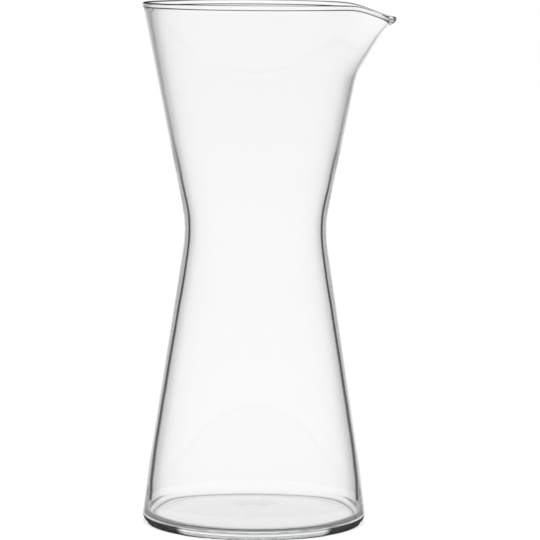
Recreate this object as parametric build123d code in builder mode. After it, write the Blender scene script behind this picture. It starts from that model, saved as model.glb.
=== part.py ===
from build123d import *
from math import acos, cos, hypot, radians, tan
import os

# Hourglass carafe: one piece of clear blown glass with a drawn pouring lip. Millimetres, +Z up.
# The origin is the centre of the ring that it stands on, and the lip points to +X.

# Outside of the glass, at the sharp corners that its radii then round
height = 230.0
rim_diameter = 100.2
neck_diameter = 61.0
neck_height = 131.5
neck_blend = 58.0
foot_diameter = 99.6
heel_radius = 3.6

# The lower wall steepens over the foot: it leans in by belly_inset up to belly_height, and the
# two runs meet in one long rounding that takes belly_run of each
belly_inset = 2.8
belly_height = 24.0
belly_run = 14.5

# Thickness of the glass, which gathers at the neck and in the heel
rim_wall = 1.6
neck_wall = 2.3
belly_wall = 1.9
heel_wall = 2.4
floor_thickness = 3.8
floor_corner = 3.2

# Underside: a flat ring to stand on, round a shallow hollow whose middle is flat again
ring_inset = 10.8
hollow_depth = 1.2
hollow_flat_diameter = 31.0
floor_rise = 0.6

# Pouring lip: its keel leaves the cone lip_tall under the rim and hangs lip_overhang past it in
# the rim's plane. The last of it before the tip turns outwards by lip_flare
lip_tall = 33.0
lip_overhang = 11.9
lip_curve = 1.3
lip_flare = 4.2
flare_tall = 9.0
lip_half_angle = 48.0
lip_steps = 5

# The edge of the lip bends down out of the rim's plane, and its glass gathers to a drop at the tip
bend_inset = 7.0
bend_slope = 21.0
bend_radius = 14.0
drop_diameter = 3.8

# Fire-polished bead along the whole edge
bead_diameter = 2.4

edge_height = height - bead_diameter / 2
lip_start = height - lip_tall
foot_reach = foot_diameter / 2
ring_reach = foot_reach - ring_inset
flat_reach = hollow_flat_diameter / 2
bend_reach = rim_diameter / 2 - bend_inset


def cone_radius(z, depth):
    """Radius of the upper cone at a height, at a depth into its wall: 0 outside, 1 inside."""
    share = (z - neck_height) / (height - neck_height)
    outside = (neck_diameter + (rim_diameter - neck_diameter) * share) / 2
    return outside - depth * (neck_wall + (rim_wall - neck_wall) * share)


def edge_drop(reach):
    """How far the edge of the lip hangs under the rim at a distance from the axis."""
    return max(0, reach - bend_reach) * tan(radians(bend_slope))


def keel_overhang(z):
    """How far the lip's keel hangs past the cone at a height."""
    share = (z - lip_start) / (height - lip_start)
    tip_height = edge_height - edge_drop(rim_diameter / 2 + lip_overhang - bead_diameter)
    turned = min(1, max(0, 1 - (tip_height - z) / flare_tall))
    return lip_overhang * share**lip_curve + lip_flare * turned**2


def run_radius(run, before, corner, after):
    """Radius of the rounding at a corner that takes a run of each side."""
    sides = [(spot[0] - corner[0], spot[1] - corner[1]) for spot in (before, after)]
    inner = sum(one * other for one, other in zip(*sides)) / (hypot(*sides[0]) * hypot(*sides[1]))
    return run * tan(acos(inner) / 2)


def half_section(depth, bottom, corner):
    """Half of the long section below the lip, from the axis at the bottom up to lip_start."""
    foot = (foot_reach - depth * heel_wall, bottom)
    belly = (foot_reach - belly_inset - depth * belly_wall, belly_height)
    neck = (cone_radius(neck_height, depth), neck_height)
    wall = FilletPolyline(
        (ring_reach, bottom),
        foot,
        belly,
        neck,
        (cone_radius(lip_start, depth), lip_start),
        radius=[corner, run_radius(belly_run, foot, belly, neck), neck_blend + depth * neck_wall],
    )
    rise = hollow_depth if depth == 0 else floor_rise
    Polyline(
        wall @ 1,
        (0, lip_start),
        (0, bottom + rise),
        (flat_reach, bottom + rise),
        wall @ 0,
    )


def lip_section(z, depth):
    """Cross-section in the lip's zone: a circle whose front is drawn out by one conic."""
    radius = cone_radius(z, depth)
    half = radians(lip_half_angle)
    chord = radius * cos(half)
    corner = radius / cos(half)
    reach = radius + keel_overhang(z)
    pull = (reach - chord) / (corner - reach)
    with BuildSketch(Plane.XY.offset(z)) as section:
        with BuildLine():
            circle = CenterArc((0, 0), radius, lip_half_angle, 360 - 2 * lip_half_angle)
            Bezier(circle @ 1, (corner, 0), circle @ 0, weights=[1, pull, 1])
        make_face()
    return section.sketch


def lip_sections(depth):
    """Cross-sections from the lip's start up to the rim's plane."""
    step = (height - lip_start) / lip_steps
    return [lip_section(lip_start + step * index, depth) for index in range(lip_steps + 1)]


def edge_outline():
    """Side view of all that lies above the edge of the glass, which bends down along the lip."""
    far = rim_diameter / 2 + lip_overhang + lip_flare + bead_diameter
    over = height + bead_diameter
    edge = FilletPolyline(
        (-far, edge_height),
        (bend_reach, edge_height),
        (far, edge_height - edge_drop(far)),
        radius=bend_radius,
    )
    Polyline(edge @ 1, (far, over), (-far, over), edge @ 0)


# The space inside, which runs on past the edge of the glass
with BuildPart() as cavity:
    with BuildSketch(Plane.XZ):
        with BuildLine():
            half_section(1, floor_thickness, floor_corner)
        make_face()
    revolve(axis=Axis.Z)
    loft(lip_sections(1))

# The middle of the wall in the lip's zone, cut along the edge: the bead follows its upper rim
with BuildPart() as wall_middle:
    loft(lip_sections(0.5))
    with BuildSketch(Plane.XZ):
        with BuildLine():
            edge_outline()
        make_face()
    extrude(amount=rim_diameter, both=True, mode=Mode.SUBTRACT)

cut_edges = wall_middle.edges().filter_by(Axis.Y, reverse=True)
bead_path = Wire(
    cut_edges.filter_by(
        lambda edge: edge.center().Z > (lip_start + height) / 2
        and edge.bounding_box().size.Z < (height - lip_start) / 2
    )
)
tip = max((bead_path @ (index / 400) for index in range(401)), key=lambda spot: spot.X)

# The glass: solid outside, cut along the edge, then hollowed, then rounded by the bead and drop
with BuildPart() as glass_body:
    with BuildSketch(Plane.XZ):
        with BuildLine():
            half_section(0, 0, heel_radius)
        make_face()
    revolve(axis=Axis.Z)
    loft(lip_sections(0))
    with BuildSketch(Plane.XZ):
        with BuildLine():
            edge_outline()
        make_face()
    extrude(amount=rim_diameter, both=True, mode=Mode.SUBTRACT)
    add(cavity.part, mode=Mode.SUBTRACT)
    with BuildSketch(Plane(origin=bead_path @ 0, z_dir=bead_path % 0)):
        Circle(bead_diameter / 2)
    sweep(path=bead_path)
    with Locations((tip.X, 0, tip.Z)):
        Sphere(drop_diameter / 2)

glass_body.part.label = "glass_body"

os.makedirs("parts", exist_ok=True)
export_step(glass_body.part, "parts/glass_body.step")
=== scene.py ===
import logging
import math
from dataclasses import dataclass, field
from enum import Enum

import bpy
from mathutils import Matrix, Vector


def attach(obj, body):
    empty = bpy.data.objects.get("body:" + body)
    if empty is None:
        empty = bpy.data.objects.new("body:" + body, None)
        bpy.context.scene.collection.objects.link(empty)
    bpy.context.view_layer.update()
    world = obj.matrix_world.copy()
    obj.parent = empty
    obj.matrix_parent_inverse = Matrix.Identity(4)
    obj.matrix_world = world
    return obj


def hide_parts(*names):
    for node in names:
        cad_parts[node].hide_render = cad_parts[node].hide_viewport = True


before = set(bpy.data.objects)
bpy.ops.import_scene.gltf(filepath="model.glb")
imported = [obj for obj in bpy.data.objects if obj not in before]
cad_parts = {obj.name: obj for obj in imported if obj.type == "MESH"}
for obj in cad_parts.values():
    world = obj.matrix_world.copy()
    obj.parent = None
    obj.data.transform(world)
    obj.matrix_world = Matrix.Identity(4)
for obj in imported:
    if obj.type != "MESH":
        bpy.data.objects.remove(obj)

LOG = logging.getLogger("carafe")

MM = 0.001
PHOTO_PIXELS = 540
WHITE = (1.0, 1.0, 1.0, 1.0)

# Places of the sockets on a Mix node for colours: what goes in, and then what comes out.
MIX_SHARE, MIX_FIRST, MIX_SECOND = 0, 6, 7
MIX_RESULT = 2

# The fewest pieces that a rounding of the section gets.
LEAST_PIECES = 6

# In metres: the ring at the axis that the section is turned on, and the gap that is then closed.
AXIS_RADIUS = 1e-7
SEAM_GAP = 2e-6

# A section of the glass is a list of points (distance from the axis, height) in millimetres.
Section = list[tuple[float, float]]

# A sum in a node tree has the name of its result, its operation and its operands, each of which
# is the name of an earlier result or a number.
Operand = str | float
Sum = tuple[str, str, tuple[Operand, ...]]


class Zone(Enum):
    """Parts of the glass section, in the order in which it runs."""

    UNDERSIDE = "underside"
    HEEL = "heel"
    OUTER_WALL = "outer wall"
    BEAD = "bead"
    INNER_WALL = "inner wall"
    CORNER = "corner round the floor"
    FLOOR = "floor"


# The points of a section, each with the part of the glass that it lies on.
ZonedPoints = list[tuple[float, float, Zone]]


@dataclass(frozen=True)
class Corner:
    """A corner of a section, in millimetres, and the radius that rounds it."""

    reach: float
    height: float
    radius: float = 0.0


@dataclass(frozen=True)
class ClearGlass:
    """Finish of soda-lime glass, blown and fire-polished: no grain, and a mirror at a slant.

    The refraction and reflection of this glass carry painted shade, standing in for a darker room
    seen in it: inner reflections are painted darker and a little green, and the wall has a painted
    dark line where the eye looks along its inner face. Shares run from 0 to 1, and sizes are in
    millimetres. A pair says where a shade starts and where it is full: by the Fresnel share, or by
    the slope or slant where its name says so.
    """

    name: str = "soda_lime_glass_painted_shade"
    clear: str = "#FFFFFF"
    # Painted shade: mirrored light is tinted towards the first dark below, and light that goes
    # through towards the second, for the painted lines, creases and rim
    painted_mirror_dark: str = "#2F3431"
    line: str = "#17191A"
    lamp_shadow: str = "#FAFBFA"
    ior: float = 1.52

    # Light that has met fewer mirrors than this has met none, and a face with a Fresnel share of
    # whole_mirror or more lets nothing through
    first_mirror: float = 0.5
    whole_mirror: float = 0.999

    # Inner wall: a painted veil of shade that deepens with the slant, and a painted dark line that
    # weakens up the cone
    veil: float = 0.6
    line_rise: tuple[float, float] = (0.21, 0.38)
    line_low: float = 142.0
    line_high: float = 185.0
    line_high_share: float = 0.42
    least_line: float = 0.01

    # The outer face gets a painted darker reflection at a slant, in place of a darker room beside
    # it, and stays white along its very edge
    painted_side_reflection_dim: float = 0.65
    side_rise: tuple[float, float] = (0.07, 0.15)
    side_fall: tuple[float, float] = (0.3, 0.5)

    # The top of the rim's bead gets painted shade where the eye looks along it. The thin glass of
    # the lip keeps lip_share of that and of the painted veil, and has one painted dark line of its
    # own along the keel
    rim_rise: tuple[float, float] = (0.045, 0.095)
    rim_slope: tuple[float, float] = (0.3, 0.75)
    rim_shade: float = 0.97
    lip_share: float = 0.25
    lip_line: float = 0.85

    # Painted shade in the creases beside the bead and round the floor, a little dark from every
    # side, and a breath of painted grey shade in the floor and underside of the foot
    wall_crease_width: float = 0.2
    bead_crease_width: float = 0.45
    floor_crease_width: float = 1.5
    painted_rim_crease: float = 1.0
    painted_floor_crease: float = 0.45
    painted_foot_grey: float = 0.065

    # The slab of the foot gets painted shade where it is seen sideways on
    slab: str = "#3C413D"
    slab_slant: tuple[float, float] = (0.24, 0.31)
    slab_top: float = 3.9
    slab_ease: float = 0.8
    slab_shade: float = 0.97

    # How far each part's inner reflections are painted from clear to dark, and over how many
    # points to either side a part's painted shade runs into the next
    painted_mirror_shades: tuple[tuple[Zone, float], ...] = (
        (Zone.UNDERSIDE, 0.05), (Zone.HEEL, 0.4), (Zone.OUTER_WALL, 0.35),
        (Zone.BEAD, 0.6), (Zone.INNER_WALL, 0.55), (Zone.CORNER, 0.65), (Zone.FLOOR, 0.05),
    )
    painted_mirror_span: int = 3


@dataclass(frozen=True)
class StudioWhite:
    """Finish of the paper sweep that the carafe stands on: matt, white, and even to its edges.

    Only what the glass shows has a greyer ceiling. Its grey starts at the first slope of a ray in
    ceiling_rise and is full at the second.
    """

    name: str = "matt_paper_sweep"
    colour: str = "#FFFFFF"
    glow: float = 0.86
    ceiling: str = "#B4B7B6"
    ceiling_rise: tuple[float, float] = (0.3, 0.6)


def linear(hex_colour: str) -> tuple[float, float, float, float]:
    """Turns an sRGB hex colour to the linear RGBA that Blender's sockets take.

    Args:
        hex_colour: The colour as "#RRGGBB".

    Returns:
        The linear colour with an alpha of 1.
    """
    parts = [int(hex_colour[place:place + 2], 16) / 255 for place in (1, 3, 5)]
    red, green, blue = (
        part / 12.92 if part <= 0.04045 else ((part + 0.055) / 1.055) ** 2.4 for part in parts
    )
    return (red, green, blue, 1.0)


def clamped(value: float) -> float:
    """Keeps a value between 0 and 1."""
    return min(1.0, max(0.0, value))


def eased(value: float) -> float:
    """Keeps a value between 0 and 1, and eases it in and out."""
    share = clamped(value)
    return share * share * (3 - 2 * share)


def add_node(
    tree: bpy.types.NodeTree,
    kind: str,
    inputs: dict[str | int, object] | None = None,
    **settings: object,
) -> bpy.types.Node:
    """Adds a node with its settings, and gives its sockets a value or a link.

    Args:
        tree: The node tree that gets the node.
        kind: Blender's name for the kind of node.
        inputs: For each input's name or place, a value or the output socket that feeds it.
        settings: The node's own settings.

    Returns:
        The new node.
    """
    node = tree.nodes.new(kind)
    for name, value in settings.items():
        setattr(node, name, value)
    for key, value in (inputs or {}).items():
        if isinstance(value, bpy.types.NodeSocket):
            tree.links.new(value, node.inputs[key])
        else:
            node.inputs[key].default_value = value
    return node


def add_formula(
    tree: bpy.types.NodeTree,
    known: dict[str, bpy.types.NodeSocket],
    steps: list[Sum],
) -> dict[str, bpy.types.NodeSocket]:
    """Writes a list of sums into a tree, each of which may use the results before it.

    Args:
        tree: The node tree that gets the sums.
        known: The sockets that the sums start from, by name.
        steps: The sums, in order.

    Returns:
        The known sockets and every result, by name.
    """
    values = dict(known)
    for name, operation, operands in steps:
        sources = {
            place: values[operand] if isinstance(operand, str) else operand
            for place, operand in enumerate(operands)
        }
        node = add_node(tree, "ShaderNodeMath", sources, operation=operation, label=name)
        values[name] = node.outputs[0]
    return values


def bell(name: str, source: str, width: str) -> list[Sum]:
    """Lists the sums of a bell curve: exp(-(source / width)^2).

    Args:
        name: The name of its result.
        source: The name of what it runs along.
        width: The name of its width.

    Returns:
        The sums, in order.
    """
    return [
        (f"{name} share", "DIVIDE", (source, width)),
        (f"{name} squared", "MULTIPLY", (f"{name} share", f"{name} share")),
        (f"{name} down", "MULTIPLY", (f"{name} squared", -1.0)),
        (name, "EXPONENT", (f"{name} down",)),
    ]


def soft_rise(name: str, source: str, ease: str) -> list[Sum]:
    """Lists the sums of a rise from 0 in an eased bend: (source + sqrt(source^2 + ease^2)) / 2.

    Args:
        name: The name of its result.
        source: The name of what it follows above 0.
        ease: The name of how far the bend is eased.

    Returns:
        The sums, in order.
    """
    return [
        (f"{name} ease", "MULTIPLY", (ease, ease)),
        (f"{name} squared", "MULTIPLY_ADD", (source, source, f"{name} ease")),
        (f"{name} root", "SQRT", (f"{name} squared",)),
        (f"{name} doubled", "ADD", (source, f"{name} root")),
        (name, "MULTIPLY", (f"{name} doubled", 0.5)),
    ]


def rounded(corners: list[Corner], step: float) -> Section:
    """Runs a line along corners and rounds each of them by its radius.

    Args:
        corners: The corners in order.
        step: The distance between the points on the roundings and the runs.

    Returns:
        The points of the line, from the first corner to the last.
    """
    spots = [Vector((corner.reach, corner.height)) for corner in corners]
    stops: list[Vector] = [spots[0]]
    for before, here, after, corner in zip(spots, spots[1:], spots[2:], corners[1:]):
        back, ahead = (before - here).normalized(), (after - here).normalized()
        half = math.acos(max(-1.0, min(1.0, back.dot(ahead)))) / 2
        length = corner.radius / math.tan(half)
        centre = here + (back + ahead).normalized() * corner.radius / math.sin(half)
        first, last = here + back * length - centre, here + ahead * length - centre
        turn = math.pi - 2 * half
        pieces = max(LEAST_PIECES, round(turn * corner.radius / step))
        across = (last - first * math.cos(turn)) / math.sin(turn)
        for index in range(pieces + 1):
            angle = turn * index / pieces
            stops.append(centre + first * math.cos(angle) + across * math.sin(angle))
    stops.append(spots[-1])
    line: Section = [tuple(stops[0])]
    for start, end in zip(stops, stops[1:]):
        pieces = max(1, round((end - start).length / step))
        line += [tuple(start.lerp(end, index / pieces)) for index in range(1, pieces + 1)]
    return line


def reach_at(line: Section, height: float) -> float:
    """Distance of a rising line from the axis at a height.

    Args:
        line: Points whose heights only rise.
        height: The height to look at.

    Returns:
        The distance from the axis there.
    """
    for (low_reach, low), (high_reach, high) in zip(line, line[1:]):
        if low <= height <= high and high > low:
            return low_reach + (high_reach - low_reach) * (height - low) / (high - low)
    raise ValueError(f"the line doesn't pass height {height}")


@dataclass
class GlassSection:
    """Half of the carafe's long section, without its lip, in millimetres."""

    height: float = 230.0
    rim_diameter: float = 100.2
    neck_diameter: float = 61.0
    neck_height: float = 131.5
    belly_diameter: float = 94.0
    belly_height: float = 24.0
    foot_diameter: float = 99.6
    neck_blend: float = 58.0
    belly_blend: float = 820.0
    heel_radius: float = 3.6

    ring_diameter: float = 78.0
    hollow_depth: float = 1.2
    hollow_flat_diameter: float = 31.0
    hollow_blend: float = 400.0
    floor_thickness: float = 3.1
    floor_rise: float = 1.05
    floor_corner: float = 3.2

    # Faint rings in the middle of the floor, which die away in the last third of their reach
    ripple: float = 0.012
    ripple_length: float = 5.5
    ripple_reach: float = 24.0
    ripple_fade: float = 3.0

    # The bead, and the depth of the crease where its round meets a face of the wall
    bead: float = 2.33
    bead_crease: float = 0.06

    # Distances between the points, and the least that is left where two runs of them meet
    bead_step: float = 0.2
    wall_step: float = 2.5
    heel_step: float = 0.28
    corner_step: float = 0.448
    floor_step: float = 0.7
    least_step: float = 0.5

    # The straight run before the heel's rounding, and how far up the wall's own points start:
    # outside in radii of the heel, inside in radii of the corner round the floor
    heel_lead: float = 1.0
    flank_lead: float = 1.6
    corner_lead: float = 2.0

    # Wall by height: it gathers at the waist and in the heel, and thins where it was blown most
    walls: tuple[tuple[float, float], ...] = (
        (226.0, 1.55), (210.0, 1.25), (189.0, 0.95), (170.0, 1.05), (153.0, 1.42),
        (131.0, 1.8), (107.0, 2.05), (92.0, 1.75), (62.0, 1.4), (49.0, 1.25),
        (31.0, 1.15), (20.0, 1.25), (8.0, 1.7),
    )

    @property
    def cone_slope(self) -> float:
        """How far the upper cone opens per millimetre of height."""
        return (self.rim_diameter - self.neck_diameter) / 2 / (self.height - self.neck_height)

    def cone_reach(self, height: float) -> float:
        """Distance of the upper cone's outside from the axis at a height."""
        return self.neck_diameter / 2 + self.cone_slope * (height - self.neck_height)

    def wall_at(self, height: float) -> float:
        """Thickness of the wall at a height, eased between the heights that are given.

        Args:
            height: The height, in millimetres.

        Returns:
            The thickness, in millimetres.
        """
        if height >= self.walls[0][0]:
            return self.walls[0][1]
        for (high, above), (low, below) in zip(self.walls, self.walls[1:]):
            if low <= height:
                return below + (above - below) * eased((height - low) / (high - low))
        return self.walls[-1][1]

    def outside(self) -> list[tuple[Zone, Section]]:
        """Draws the glass from the axis under the foot to the bead.

        Returns:
            The underside, the heel and the outside of the wall.
        """
        flat, ring = self.hollow_flat_diameter / 2, self.ring_diameter / 2
        heel_start = self.foot_diameter / 2 - self.heel_radius
        under = rounded(
            [
                Corner(0, self.hollow_depth),
                Corner(flat, self.hollow_depth, self.hollow_blend),
                Corner(ring, 0, self.hollow_blend),
                Corner(heel_start, 0),
            ],
            self.wall_step,
        )
        heel = rounded(
            [
                Corner(heel_start - self.heel_lead, 0),
                Corner(self.foot_diameter / 2, 0, self.heel_radius),
                *self.flank()[:1],
            ],
            self.heel_step,
        )
        flank = self.flank_line(self.bead_section()[0][1] - self.bead_step)
        heel = [point for point in heel[1:] if point[1] < flank[0][1] - self.least_step]
        return [(Zone.UNDERSIDE, under[:-1]), (Zone.HEEL, heel), (Zone.OUTER_WALL, flank)]

    def flank(self) -> list[Corner]:
        """Corners of the outside of the wall, from the heel up."""
        return [
            Corner(self.belly_diameter / 2, self.belly_height, self.belly_blend),
            Corner(self.neck_diameter / 2, self.neck_height, self.neck_blend),
        ]

    def flank_line(self, top: float) -> Section:
        """Draws the outside of the wall from just over the heel's rounding.

        Args:
            top: The height that it runs up to.

        Returns:
            The points of the line.
        """
        foot = Corner(self.foot_diameter / 2, 0)
        line = rounded([foot, *self.flank(), Corner(self.cone_reach(top), top)], self.wall_step)
        start = self.heel_radius * self.flank_lead
        above = [point for point in line if point[1] > start + self.least_step]
        return [(reach_at(line, start), start), *above]

    def bead_centre(self) -> tuple[float, float]:
        """The middle of the bead, which lies in the middle of the wall."""
        level = self.height - self.bead / 2
        return self.cone_reach(level) - self.wall_at(level) / 2, level

    def bead_section(self) -> Section:
        """Draws the round of the bead.

        Returns:
            The points from where it meets the outside of the wall to where it meets the inside.
        """
        reach, level = self.bead_centre()
        half = self.bead / 2
        sink = math.acos((self.wall_at(level) / 2 - self.bead_crease) / half)
        lean = math.atan(self.cone_slope)
        turn = math.pi + 2 * sink
        pieces = round(turn * half / self.bead_step)
        angles = [turn * index / pieces - sink - lean for index in range(pieces + 1)]
        return [
            (reach + half * math.cos(angle), level + half * math.sin(angle)) for angle in angles
        ]

    def inside(self) -> list[tuple[Zone, Section]]:
        """Draws the glass from the bead down to the axis on the floor.

        Returns:
            The bead, the inside of the wall, the corner round the floor, and the floor.
        """
        rim = self.bead_section()
        run_out = rim[-1][1] - self.bead_step
        outer = self.flank_line(self.height)
        corner_top = self.floor_thickness + self.floor_corner * self.corner_lead
        count = round((run_out - corner_top) / self.wall_step)
        heights = [run_out - (run_out - corner_top) * index / count for index in range(count + 1)]
        wall = [(reach_at(outer, level) - self.wall_at(level), level) for level in heights]
        splay = (wall[-1][0] - wall[-2][0]) / (wall[-2][1] - wall[-1][1])
        foot_reach = wall[-1][0] + splay * (corner_top - self.floor_thickness)
        floor_top = self.floor_thickness + self.floor_rise
        corner = rounded(
            [
                Corner(*wall[-1]),
                Corner(foot_reach, self.floor_thickness, self.floor_corner),
                Corner(self.ring_diameter / 2, self.floor_thickness),
            ],
            self.corner_step,
        )
        floor = rounded(
            [
                Corner(*corner[-1]),
                Corner(self.hollow_flat_diameter / 2, floor_top, self.hollow_blend),
                Corner(0, floor_top),
            ],
            self.floor_step,
        )
        floor = [(reach, level + self.ripple_at(reach)) for reach, level in floor]
        bend = [point for point in corner if point[0] > foot_reach - self.floor_corner]
        return [
            (Zone.BEAD, rim), (Zone.INNER_WALL, wall[:-1]), (Zone.CORNER, bend),
            (Zone.FLOOR, corner[len(bend):] + floor[1:]),
        ]

    def ripple_at(self, reach: float) -> float:
        """Height of the faint rings in the middle of the floor at a distance from the axis."""
        wave = math.cos(2 * math.pi * reach / self.ripple_length)
        return self.ripple * wave * clamped(self.ripple_fade * (1 - reach / self.ripple_reach))

    def points(self) -> ZonedPoints:
        """The whole closed section from the axis under the foot to the axis on the floor."""
        runs = self.outside() + self.inside()
        return [(reach, level, zone) for zone, line in runs for reach, level in line]


@dataclass
class PouringLip:
    """The lip drawn out of the hot rim towards +X, in millimetres and degrees."""

    # The keel leaves the cone at a height, and the flare turns it further out near the tip
    start: float = 199.3
    keel_slope: float = 0.42
    keel_ease: float = 0.9
    half_angle: float = 40.0
    flare: float = 1.8
    flare_power: float = 11.0

    # The edge sinks where it reaches further from the axis than the bend
    bend_reach: float = 43.5
    bend_slope: float = 19.0
    bend_ease: float = 4.0

    # The bead gathers to a drop at the tip
    drop_swell: float = 0.5
    drop_width: float = 5.0

    # How far round and how far down the glass looks drawn, and how the facets crowd to the lip
    draw_width: float = 30.0
    draw_ease: float = 0.3
    crowding: float = 0.35


@dataclass
class GlassBody:
    """The whole carafe: a section turned round the axis by Geometry Nodes, then drawn to a lip."""

    section: GlassSection = field(default_factory=GlassSection)
    lip: PouringLip = field(default_factory=PouringLip)
    finish: ClearGlass = field(default_factory=ClearGlass)
    facets: int = 280

    def section_object(self) -> bpy.types.Object:
        """Makes the section as a line of edges whose points carry how much painted shade the glass
        gets there and where its bead swells.

        Returns:
            The object that holds the line, in metres in the XZ plane.
        """
        points = self.section.points()
        mesh = bpy.data.meshes.new("glass_body")
        edges = [(index, index + 1) for index in range(len(points) - 1)]
        mesh.from_pydata([(reach * MM, 0, level * MM) for reach, level, _ in points], edges, [])
        for name, values in self.looks(points).items():
            mesh.attributes.new(name, "FLOAT", "POINT").data.foreach_set("value", values)
        piece = bpy.data.objects.new("glass_body_blown", mesh)
        bpy.context.scene.collection.objects.link(piece)
        return piece

    def looks(self, points: ZonedPoints) -> dict[str, list[float]]:
        """Works out the painted shade of the glass and its swell at each point of the section.

        Args:
            points: The points, each with its zone.

        Returns:
            For each attribute its value at every point: depth is how much painted shade an inner
            reflection gets, line how strong the painted dark line is along the inner wall, crease
            how much painted shade a sharp bend of the surface gets, rim and slab are 1 on the bead
            and round the slab of the foot, where painted shade goes, and bead is 1 where the bead
            swells to the drop at the lip's tip.
        """
        finish, section = self.finish, self.section
        edge = section.height - section.bead
        slab_zones = (Zone.UNDERSIDE, Zone.HEEL, Zone.OUTER_WALL)
        return {
            "depth": self.painted_mirror_shades(points),
            "line": [
                self.line_at(level) if zone is Zone.INNER_WALL else 0.0
                for _, level, zone in points
            ],
            "crease": self.painted_creases(points),
            "rim": [1.0 if zone is Zone.BEAD else 0.0 for _, _, zone in points],
            "slab": [
                clamped((finish.slab_top - level) / finish.slab_ease) if zone in slab_zones
                else 0.0
                for _, level, zone in points
            ],
            "bead": [clamped(1 + (level - edge) / (section.bead / 2)) for _, level, _ in points],
        }

    def painted_mirror_shades(self, points: ZonedPoints) -> list[float]:
        """Works out how much painted shade an inner reflection gets, eased from part to part.

        Args:
            points: The points of the section, each with its zone.

        Returns:
            The painted shade at every point.
        """
        by_zone, span = dict(self.finish.painted_mirror_shades), self.finish.painted_mirror_span
        flat = [by_zone[zone] for _, _, zone in points]
        near = [flat[max(0, index - span):index + span + 1] for index in range(len(flat))]
        return [sum(painted_mirror_shades) / len(painted_mirror_shades) for painted_mirror_shades in near]

    def line_at(self, level: float) -> float:
        """Works out how strong the painted dark line along the inner wall is.

        Args:
            level: The height, in millimetres.

        Returns:
            The strength, from 1 at the foot to line_high_share high up the cone.
        """
        finish = self.finish
        rise = (level - finish.line_low) / (finish.line_high - finish.line_low)
        return 1 - eased(rise) * (1 - finish.line_high_share)

    def painted_creases(self, points: ZonedPoints) -> list[float]:
        """Works out how much painted shade the glass gets beside its sharp bends.

        Args:
            points: The points of the section, each with its zone.

        Returns:
            The painted shade at every point: both sides of the bead, the corner round the floor,
                and
            the painted grey of the foot.
        """
        finish = self.finish
        bead = [point for point in points if point[2] is Zone.BEAD]
        corner = [point for point in points if point[2] is Zone.CORNER]
        bends = (
            (bead[0], finish.painted_rim_crease), (bead[-1], finish.painted_rim_crease),
            (corner[-1], finish.painted_floor_crease),
        )
        widths = {
            Zone.OUTER_WALL: finish.wall_crease_width, Zone.BEAD: finish.bead_crease_width,
            Zone.INNER_WALL: finish.wall_crease_width,
        }
        shades = []
        for reach, level, zone in points:
            shade = finish.painted_foot_grey if zone in (Zone.FLOOR, Zone.UNDERSIDE) else 0.0
            width = widths.get(zone, finish.floor_crease_width)
            for (bend_reach, bend_level, _), share in bends:
                near = 1 - math.dist((reach, level), (bend_reach, bend_level)) / width
                shade = max(shade, share * near)
            shades.append(shade)
        return shades

    def lip_conic(self) -> bpy.types.NodeTree:
        """Makes the group that draws the front of a circle out by one conic.

        Returns:
            A group from a circle's radius, the extra reach of its front and a direction to the
            distance from the axis in that direction.
        """
        tree = bpy.data.node_groups.new("lip_conic", "GeometryNodeTree")
        names = ("Radius", "Extra", "Cosine", "Sine", "Half Angle")
        for name in names:
            tree.interface.new_socket(name, in_out="INPUT", socket_type="NodeSocketFloat")
        tree.interface.new_socket("Reach", in_out="OUTPUT", socket_type="NodeSocketFloat")
        start = add_node(tree, "NodeGroupInput")
        known = {name: start.outputs[name] for name in names}
        values = add_formula(tree, known, [
            ("cos half", "COSINE", ("Half Angle",)),
            ("tan half", "TANGENT", ("Half Angle",)),
            ("chord", "MULTIPLY", ("Radius", "cos half")),
            ("corner", "DIVIDE", ("Radius", "cos half")),
            ("front", "ADD", ("Radius", "Extra")),
            ("over chord", "SUBTRACT", ("front", "chord")),
            ("to corner", "SUBTRACT", ("corner", "front")),
            ("pull", "DIVIDE", ("over chord", "to corner")),
            ("pull squared", "MULTIPLY", ("pull", "pull")),
            ("cosine squared", "MULTIPLY", ("Cosine", "Cosine")),
            ("slant", "MULTIPLY", ("Sine", "tan half")),
            ("slant squared", "MULTIPLY", ("slant", "slant")),
            ("slant less", "SUBTRACT", ("slant squared", "cosine squared")),
            ("a", "MULTIPLY_ADD", ("pull squared", "slant less", "cosine squared")),
            ("pulled corner", "MULTIPLY", ("pull squared", "corner")),
            ("half b", "SUBTRACT", ("pulled corner", "chord")),
            ("b half", "MULTIPLY", ("half b", "Cosine")),
            ("chord squared", "MULTIPLY", ("chord", "chord")),
            ("corner part", "MULTIPLY", ("pulled corner", "corner")),
            ("minus c", "SUBTRACT", ("corner part", "chord squared")),
            ("b squared", "MULTIPLY", ("b half", "b half")),
            ("under root", "MULTIPLY_ADD", ("a", "minus c", "b squared")),
            ("under root kept", "MAXIMUM", ("under root", 0.0)),
            ("root", "SQRT", ("under root kept",)),
            ("divisor", "ADD", ("b half", "root")),
            ("drawn", "DIVIDE", ("minus c", "divisor")),
            ("in front", "GREATER_THAN", ("Cosine", "cos half")),
            ("out by", "SUBTRACT", ("drawn", "Radius")),
            ("reach", "MULTIPLY_ADD", ("out by", "in front", "Radius")),
        ])
        add_node(tree, "NodeGroupOutput", {"Reach": values["reach"]})
        return tree

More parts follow.
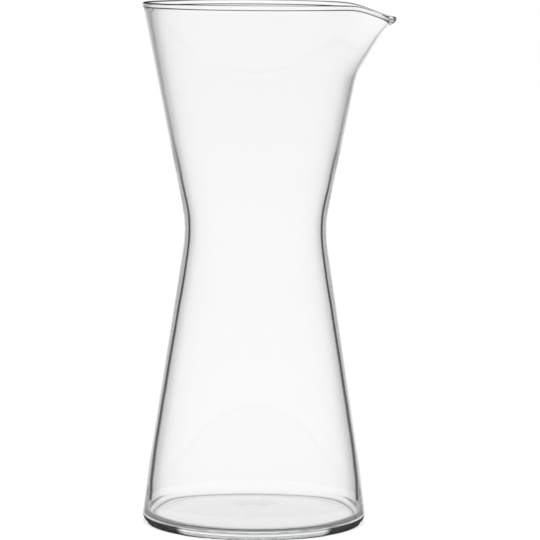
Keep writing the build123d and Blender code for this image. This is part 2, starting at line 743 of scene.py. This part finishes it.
    def sizes(self) -> dict[str, float]:
        """Works out the named inputs of the turning tree, in metres and radians.

        Returns:
            The value of each input, by name.
        """
        section, lip = self.section, self.lip
        edge = section.height - section.bead
        bead_reach, bead_level = section.bead_centre()
        return {
            "Rim Radius": section.cone_reach(edge) * MM,
            "Cone Slope": section.cone_slope,
            "Edge Height": edge * MM,
            "Lip Start": lip.start * MM,
            "Keel Slope": lip.keel_slope,
            "Keel Ease": lip.keel_ease * MM,
            "Half Angle": math.radians(lip.half_angle),
            "Flare": lip.flare * MM,
            "Flare Power": lip.flare_power,
            "Bend Reach": lip.bend_reach * MM,
            "Bend Slope": math.tan(math.radians(lip.bend_slope)),
            "Bend Ease": lip.bend_ease * MM,
            "Bead Reach": bead_reach * MM,
            "Bead Level": bead_level * MM,
            "Drop Swell": lip.drop_swell,
            "Drop Width": math.radians(lip.drop_width),
            "Draw Width": math.radians(lip.draw_width),
            "Draw Ease": lip.draw_ease,
            "Crowding": lip.crowding,
        }

    def turning(self, material: bpy.types.Material) -> bpy.types.NodeTree:
        """Makes the tree that turns the section round the axis and draws the lip.

        Args:
            material: The glass.

        Returns:
            The tree, with a named input for each of the sizes and for the number of facets.
        """
        names = list(self.sizes())
        tree = bpy.data.node_groups.new("turned_glass", "GeometryNodeTree")
        tree.interface.new_socket("Section", in_out="INPUT", socket_type="NodeSocketGeometry")
        tree.interface.new_socket("Facets", in_out="INPUT", socket_type="NodeSocketInt")
        for name in names:
            tree.interface.new_socket(name, in_out="INPUT", socket_type="NodeSocketFloat")
        tree.interface.new_socket("Glass", in_out="OUTPUT", socket_type="NodeSocketGeometry")
        start = add_node(tree, "NodeGroupInput")

        upright = add_node(
            tree, "GeometryNodeTransform",
            {"Geometry": start.outputs["Section"], "Rotation": (math.pi / 2, 0, 0)},
        )
        line = add_node(tree, "GeometryNodeMeshToCurve", {"Mesh": upright.outputs[0]})
        axis = add_node(
            tree, "GeometryNodeCurvePrimitiveCircle",
            {"Resolution": start.outputs["Facets"], "Radius": AXIS_RADIUS},
        )
        turned = add_node(
            tree, "GeometryNodeCurveToMesh",
            {"Curve": axis.outputs["Curve"], "Profile Curve": line.outputs[0]},
        )

        place = add_node(tree, "GeometryNodeInputPosition")
        parts = add_node(tree, "ShaderNodeSeparateXYZ", {0: place.outputs[0]})
        known = {name: start.outputs[name] for name in names}
        known |= {axis_name: parts.outputs[axis_name] for axis_name in "XYZ"}
        beaded = add_node(tree, "GeometryNodeInputNamedAttribute", {"Name": "bead"})
        known["beaded"] = beaded.outputs["Attribute"]
        conic = self.lip_conic()

        # Where each point lies round the axis: more of them crowd towards the lip, and the bead
        # swells to the drop at its tip
        values = add_formula(tree, known, [
            ("x squared", "MULTIPLY", ("X", "X")),
            ("radius squared", "MULTIPLY_ADD", ("Y", "Y", "x squared")),
            ("turned radius", "SQRT", ("radius squared",)),
            ("angle", "ARCTAN2", ("Y", "X")),
            ("angle sine", "SINE", ("angle",)),
            ("nudge", "MULTIPLY", ("angle sine", "Crowding")),
            ("direction", "SUBTRACT", ("angle", "nudge")),
            ("cosine", "COSINE", ("direction",)),
            ("sine", "SINE", ("direction",)),
            *bell("on lip", "direction", "Draw Width"),
            *bell("near tip", "direction", "Drop Width"),
            ("drop here", "MULTIPLY", ("near tip", "Drop Swell")),
            ("swell", "MULTIPLY", ("drop here", "beaded")),
            ("from centre z", "SUBTRACT", ("Z", "Bead Level")),
            ("from centre reach", "SUBTRACT", ("turned radius", "Bead Reach")),
            ("full z", "MULTIPLY_ADD", ("from centre z", "swell", "Z")),
            ("radius", "MULTIPLY_ADD", ("from centre reach", "swell", "turned radius")),
            ("lip tall", "SUBTRACT", ("Edge Height", "Lip Start")),
            ("edge extra", "MULTIPLY", ("lip tall", "Keel Slope")),
        ])
        towards = {
            "Cosine": values["cosine"], "Sine": values["sine"], "Half Angle": values["Half Angle"],
        }
        edge_reach = add_node(
            tree, "GeometryNodeGroup",
            {"Radius": values["Rim Radius"], "Extra": values["edge extra"]} | towards,
            node_tree=conic,
        )

        # The edge sinks where it reaches past the bend, and takes the glass under it along. The
        # keel and the flare then pull the front of each circle out
        values = add_formula(tree, values | {"edge reach": edge_reach.outputs[0]}, [
            ("edge x", "MULTIPLY", ("edge reach", "cosine")),
            ("past bend", "SUBTRACT", ("edge x", "Bend Reach")),
            *soft_rise("past eased", "past bend", "Bend Ease"),
            ("drop", "MULTIPLY", ("past eased", "Bend Slope")),
            ("over start", "SUBTRACT", ("Z", "Lip Start")),
            ("share free", "DIVIDE", ("over start", "lip tall")),
            ("share low", "MAXIMUM", ("share free", 0.0)),
            ("share", "MINIMUM", ("share low", 1.0)),
            ("sunk", "MULTIPLY", ("drop", "share")),
            ("new z", "SUBTRACT", ("full z", "sunk")),
            ("narrowed", "MULTIPLY", ("sunk", "Cone Slope")),
            ("circle", "SUBTRACT", ("radius", "narrowed")),
            ("new over start", "SUBTRACT", ("new z", "Lip Start")),
            ("keel", "MULTIPLY", ("new over start", "Keel Slope")),
            *soft_rise("keel eased", "keel", "Keel Ease"),
            ("flare share", "POWER", ("share", "Flare Power")),
            ("drawn share", "POWER", ("share", "Draw Ease")),
            ("drawn here", "MULTIPLY", ("on lip", "drawn share")),
            ("extra", "MULTIPLY_ADD", ("Flare", "flare share", "keel eased")),
        ])
        drawn = add_node(
            tree, "GeometryNodeGroup",
            {"Radius": values["circle"], "Extra": values["extra"]} | towards,
            node_tree=conic,
        )
        values = add_formula(tree, values | {"reach": drawn.outputs[0]}, [
            ("new x", "MULTIPLY", ("reach", "cosine")),
            ("new y", "MULTIPLY", ("reach", "sine")),
        ])
        spot = add_node(
            tree, "ShaderNodeCombineXYZ",
            {"X": values["new x"], "Y": values["new y"], "Z": values["new z"]},
        )
        marked = add_node(
            tree, "GeometryNodeStoreNamedAttribute",
            {"Geometry": turned.outputs[0], "Name": "drawn", "Value": values["drawn here"]},
        )
        shaped = add_node(
            tree, "GeometryNodeSetPosition",
            {"Geometry": marked.outputs[0], "Position": spot.outputs[0]},
        )
        closed = add_node(
            tree, "GeometryNodeMergeByDistance",
            {"Geometry": shaped.outputs[0], "Distance": SEAM_GAP},
        )
        outwards = add_node(tree, "GeometryNodeFlipFaces", {"Mesh": closed.outputs[0]})
        smooth = add_node(tree, "GeometryNodeSetShadeSmooth", {"Geometry": outwards.outputs[0]})
        real = add_node(tree, "GeometryNodeRealizeInstances", {"Geometry": smooth.outputs[0]})
        dressed = add_node(
            tree, "GeometryNodeSetMaterial",
            {"Geometry": real.outputs[0], "Material": material},
        )
        add_node(tree, "NodeGroupOutput", {"Glass": dressed.outputs[0]})
        return tree

    def shades(
        self, tree: bpy.types.NodeTree, gloss: bpy.types.Node, path: bpy.types.Node
    ) -> dict[str, bpy.types.NodeSocket]:
        """Adds the nodes that work out how much painted shade the glass gets at a point.

        Args:
            tree: The glass's node tree.
            gloss: Its Fresnel node.
            path: Its light path node.

        Returns:
            The sockets by name: among them "shade" for what goes through, "mirror shade" for what
            is mirrored, and "slab shade" for both in the slab of the foot.
        """
        finish = self.finish
        marks = {
            name: add_node(tree, "ShaderNodeAttribute", attribute_name=name).outputs["Fac"]
            for name in ("line", "depth", "rim", "slab", "crease", "drawn")
        }
        face = add_node(tree, "ShaderNodeNewGeometry")
        flattened = add_node(
            tree, "ShaderNodeVectorMath", {0: face.outputs["Normal"], 1: (1, 1, 0)},
            operation="MULTIPLY",
        )
        side_on = add_node(
            tree, "ShaderNodeVectorMath", {0: flattened.outputs[0]}, operation="NORMALIZE"
        )
        slant = add_node(tree, "ShaderNodeLayerWeight", {"Normal": side_on.outputs[0]})
        normal = add_node(tree, "ShaderNodeSeparateXYZ", {0: face.outputs["Normal"]})
        known = marks | {
            "mirrored before": path.outputs["Glossy Depth"],
            "gloss": gloss.outputs[0], "within": face.outputs["Backfacing"],
            "slant": slant.outputs["Facing"], "normal z": normal.outputs["Z"],
        }
        known = add_formula(tree, known, [("level", "ABSOLUTE", ("normal z",))])
        ramps = {
            name: add_node(
                tree, "ShaderNodeMapRange",
                {"Value": known[source], "From Min": ramp[0], "From Max": ramp[1]},
                interpolation_type="SMOOTHSTEP",
            ).outputs[0]
            for name, source, ramp in (
                ("line rise", "gloss", finish.line_rise),
                ("rim rise", "gloss", finish.rim_rise),
                ("side rise", "gloss", finish.side_rise),
                ("side fall", "gloss", finish.side_fall),
                ("rim top", "level", finish.rim_slope),
                ("sideways", "slant", finish.slab_slant),
            )
        }
        return add_formula(tree, known | ramps, [
            # Painted shade on what goes through: the veil and the line of the wall, the rim and
            # the creases
            ("on wall", "GREATER_THAN", ("line", finish.least_line)),
            ("veil", "MULTIPLY", ("gloss", finish.veil)),
            ("wall veil", "MULTIPLY", ("veil", "on wall")),
            ("kept", "MULTIPLY_ADD", ("drawn", finish.lip_share - 1, 1.0)),
            ("wall veil kept", "MULTIPLY", ("wall veil", "kept")),
            ("keel", "MULTIPLY", ("drawn", "on wall")),
            ("keel line", "MULTIPLY", ("keel", finish.lip_line)),
            ("line kept", "MAXIMUM", ("line", "keel line")),
            ("wall line", "MULTIPLY", ("line rise", "line kept")),
            ("rim kept", "MULTIPLY", ("rim", "kept")),
            ("rim line", "MULTIPLY", ("rim rise", "rim kept")),
            ("rim line top", "MULTIPLY", ("rim line", "rim top")),
            ("rim shade", "MULTIPLY", ("rim line top", finish.rim_shade)),
            ("wall shade", "MAXIMUM", ("wall veil kept", "wall line")),
            ("smooth shade", "MAXIMUM", ("wall shade", "rim shade")),
            ("shade", "MAXIMUM", ("smooth shade", "crease")),
            # Painted shade on what is mirrored: the first time inside the wall, or outside at a
            # slant
            ("not whole", "LESS_THAN", ("gloss", finish.whole_mirror)),
            ("edge line", "MULTIPLY", ("wall line", "not whole")),
            ("smooth depth", "MAXIMUM", ("depth", "edge line")),
            ("mirror depth", "MAXIMUM", ("smooth depth", "crease")),
            ("first", "LESS_THAN", ("mirrored before", finish.first_mirror)),
            ("first depth", "MULTIPLY", ("mirror depth", "first")),
            ("kept depth", "MULTIPLY", ("first depth", "kept")),
            ("inner mirror", "MULTIPLY", ("kept depth", "within")),
            ("from outside", "SUBTRACT", (1.0, "within")),
            ("side share", "SUBTRACT", ("side rise", "side fall")),
            ("side here", "MULTIPLY", ("side share", "from outside")),
            ("steepness", "SUBTRACT", (1.0, "level")),
            ("side wall", "MULTIPLY", ("side here", "steepness")),
            ("side kept", "MULTIPLY", ("side wall", "kept")),
            ("side shade", "MULTIPLY", ("side kept", finish.painted_side_reflection_dim)),
            ("face shade", "MAXIMUM", ("inner mirror", "side shade")),
            ("mirror shade", "MAXIMUM", ("face shade", "rim shade")),
            # Painted shade on the slab of the foot, from outside
            ("slab here", "MULTIPLY", ("slab", "from outside")),
            ("slab side", "MULTIPLY", ("slab here", "sideways")),
            ("slab shade", "MULTIPLY", ("slab side", finish.slab_shade)),
        ])

    def dress(self) -> bpy.types.Material:
        """Makes the glass.

        Returns:
            The material.
        """
        finish = self.finish
        material = bpy.data.materials.new(finish.name)
        material.use_nodes = True
        tree = material.node_tree
        tree.nodes.clear()

        # Soda-lime glass with painted shade: what goes through and what is mirrored inside the
        # wall are tinted darker, in place of a darker room seen in the glass
        gloss = add_node(tree, "ShaderNodeFresnel", {"IOR": finish.ior})
        path = add_node(tree, "ShaderNodeLightPath")
        values = self.shades(tree, gloss, path)
        tints = []
        for share, dark in ((values["shade"], finish.line), (values["mirror shade"], finish.painted_mirror_dark)):
            tint = add_node(
                tree, "ShaderNodeMix",
                {MIX_SHARE: share, MIX_FIRST: linear(finish.clear), MIX_SECOND: linear(dark)},
                data_type="RGBA",
            )
            on_slab = add_node(
                tree, "ShaderNodeMix",
                {MIX_SHARE: values["slab shade"], MIX_FIRST: tint.outputs[MIX_RESULT],
                 MIX_SECOND: linear(finish.slab)},
                data_type="RGBA",
            )
            tints.append(on_slab.outputs[MIX_RESULT])
        through = add_node(
            tree, "ShaderNodeBsdfRefraction",
            {"Color": tints[0], "Roughness": 0.0, "IOR": finish.ior},
        )
        mirror = add_node(tree, "ShaderNodeBsdfGlossy", {"Color": tints[1], "Roughness": 0.0})
        glass = add_node(
            tree, "ShaderNodeMixShader",
            {0: gloss.outputs[0], 1: through.outputs[0], 2: mirror.outputs[0]},
        )

        # Lamps shine straight through, so the carafe's shadow is only a breath of grey
        clear = add_node(tree, "ShaderNodeBsdfTransparent", {"Color": linear(finish.lamp_shadow)})
        lamp_light = add_node(
            tree, "ShaderNodeMixShader",
            {0: path.outputs["Is Shadow Ray"], 1: glass.outputs[0], 2: clear.outputs[0]},
        )
        add_node(tree, "ShaderNodeOutputMaterial", {"Surface": lamp_light.outputs[0]})
        return material

    def build(self) -> bpy.types.Object:
        """Blows the glass, draws the lip, and puts it in the place of the CAD node.

        Returns:
            The finished piece.
        """
        piece = self.section_object()
        tree = self.turning(self.dress())
        modifier = piece.modifiers.new("turning", "NODES")
        modifier.node_group = tree
        values = self.sizes() | {"Facets": self.facets}
        for item in tree.interface.items_tree:
            if item.in_out == "INPUT" and item.name in values:
                modifier[item.identifier] = values[item.name]
        evaluated = piece.evaluated_get(bpy.context.evaluated_depsgraph_get())
        mesh = bpy.data.meshes.new_from_object(evaluated)
        piece.modifiers.clear()
        piece.data = mesh
        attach(piece, "root")
        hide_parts("glass_body")
        LOG.info("%s: %d faces", piece.name, len(mesh.polygons))
        return piece


@dataclass
class Studio:
    """The white sweep, the softbox and the camera, in millimetres and degrees."""

    finish: StudioWhite = field(default_factory=StudioWhite)
    floor_radius: float = 6000.0
    floor_sides: int = 96
    camera_distance: float = 1450.0
    camera_height: float = 268.0
    aim_reach: float = 6.5
    aim_height: float = 112.1
    focal_pixels: float = 3299.0
    roll: float = 0.37
    sensor: float = 36.0

    # The softbox, in metres and watts
    softbox_size: float = 1.6
    softbox_power: float = 20.0
    softbox_place: tuple[float, float, float] = (-0.5, -0.4, 1.9)
    softbox_aim: tuple[float, float, float] = (0.0, 0.0, 0.1)

    # Enough bounces for light that runs up and down inside the wall
    bounces: int = 64

    def floor(self) -> bpy.types.Object:
        """Lays the floor: it glows almost white for the eye, and the rest is lit by the lamps.

        Returns:
            The floor.
        """
        bpy.ops.mesh.primitive_circle_add(
            vertices=self.floor_sides, radius=self.floor_radius * MM, fill_type="NGON"
        )
        floor = bpy.context.object
        floor.name = "paper_sweep"
        material = bpy.data.materials.new(self.finish.name)
        material.use_nodes = True
        tree = material.node_tree
        tree.nodes.clear()
        paper = add_node(tree, "ShaderNodeBsdfDiffuse", {"Color": linear(self.finish.colour)})
        path = add_node(tree, "ShaderNodeLightPath")
        looks = {
            "eye": path.outputs["Is Camera Ray"], "mirror": path.outputs["Is Glossy Ray"],
            "glass": path.outputs["Is Transmission Ray"],
        }
        seen = add_formula(tree, looks, [
            ("either", "MAXIMUM", ("eye", "mirror")),
            ("any", "MAXIMUM", ("either", "glass")),
            ("glow share", "MULTIPLY", ("any", self.finish.glow)),
        ])
        glow = add_node(tree, "ShaderNodeEmission", {"Color": WHITE, "Strength": 1.0})
        mixed = add_node(
            tree, "ShaderNodeMixShader",
            {0: seen["glow share"], 1: paper.outputs[0], 2: glow.outputs[0]},
        )
        add_node(tree, "ShaderNodeOutputMaterial", {"Surface": mixed.outputs[0]})
        floor.data.materials.append(material)
        return floor

    def surround(self) -> None:
        """Makes the world: white all round, but greyer overhead for what the glass shows."""
        world = bpy.data.worlds.new("studio")
        bpy.context.scene.world = world
        world.use_nodes = True
        tree = world.node_tree
        tree.nodes.clear()
        path = add_node(tree, "ShaderNodeLightPath")
        where = add_node(tree, "ShaderNodeTexCoord")
        parts = add_node(tree, "ShaderNodeSeparateXYZ", {0: where.outputs["Generated"]})
        overhead = add_node(
            tree, "ShaderNodeMapRange",
            {"Value": parts.outputs["Z"], "From Min": self.finish.ceiling_rise[0],
             "From Max": self.finish.ceiling_rise[1]},
            interpolation_type="SMOOTHSTEP",
        )
        room = add_node(
            tree, "ShaderNodeMix",
            {MIX_SHARE: overhead.outputs[0], MIX_FIRST: WHITE,
             MIX_SECOND: linear(self.finish.ceiling)},
            data_type="RGBA",
        )
        looks = {
            "mirror": path.outputs["Is Glossy Ray"], "glass": path.outputs["Is Transmission Ray"],
        }
        seen = add_formula(tree, looks, [("either", "MAXIMUM", ("mirror", "glass"))])
        colour = add_node(
            tree, "ShaderNodeMix",
            {MIX_SHARE: seen["either"], MIX_FIRST: WHITE, MIX_SECOND: room.outputs[MIX_RESULT]},
            data_type="RGBA",
        )
        sky = add_node(
            tree, "ShaderNodeBackground", {"Color": colour.outputs[MIX_RESULT], "Strength": 1.0}
        )
        add_node(tree, "ShaderNodeOutputWorld", {"Surface": sky.outputs[0]})

    def lamps(self) -> None:
        """Hangs one wide softbox over the carafe, which gives it a soft shadow."""
        light = bpy.data.lights.new("softbox_overhead", "AREA")
        light.shape = "DISK"
        light.size = self.softbox_size
        light.energy = self.softbox_power
        lamp = bpy.data.objects.new("softbox_overhead", light)
        lamp.location = self.softbox_place
        aim = Vector(self.softbox_aim) - lamp.location
        lamp.rotation_euler = aim.to_track_quat("-Z", "Y").to_euler()
        lamp.visible_glossy = False
        lamp.visible_transmission = False
        bpy.context.scene.collection.objects.link(lamp)

    def camera(self) -> bpy.types.Object:
        """Puts the camera where the photograph was taken from.

        Returns:
            The camera.
        """
        data = bpy.data.cameras.new("photo_view")
        data.sensor_width = self.sensor
        data.lens = self.focal_pixels / PHOTO_PIXELS * self.sensor
        camera = bpy.data.objects.new("photo_view", data)
        eye = Vector((0, -self.camera_distance, self.camera_height)) * MM
        aim = Vector((self.aim_reach, 0, self.aim_height)) * MM
        turn = (aim - eye).to_track_quat("-Z", "Y").to_matrix().to_4x4()
        lean = Matrix.Rotation(math.radians(self.roll), 4, "Z")
        camera.matrix_world = Matrix.Translation(eye) @ turn @ lean
        bpy.context.scene.collection.objects.link(camera)
        bpy.context.scene.camera = camera
        return camera

    def build(self) -> None:
        """Builds all that stands round the carafe, and sets how light is counted."""
        self.floor()
        self.surround()
        self.lamps()
        self.camera()
        scene = bpy.context.scene
        scene.view_settings.view_transform = "Standard"
        scene.cycles.max_bounces = self.bounces
        scene.cycles.transmission_bounces = self.bounces
        scene.cycles.glossy_bounces = self.bounces
        scene.cycles.caustics_reflective = False
        scene.cycles.caustics_refractive = False
        LOG.info("studio: floor, world, softbox and camera")


def main() -> None:
    """Builds the studio and the glass."""
    logging.basicConfig(level=logging.INFO, format="%(message)s")
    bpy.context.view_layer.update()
    Studio().build()
    GlassBody().build()


if __name__ == "__main__":
    main()
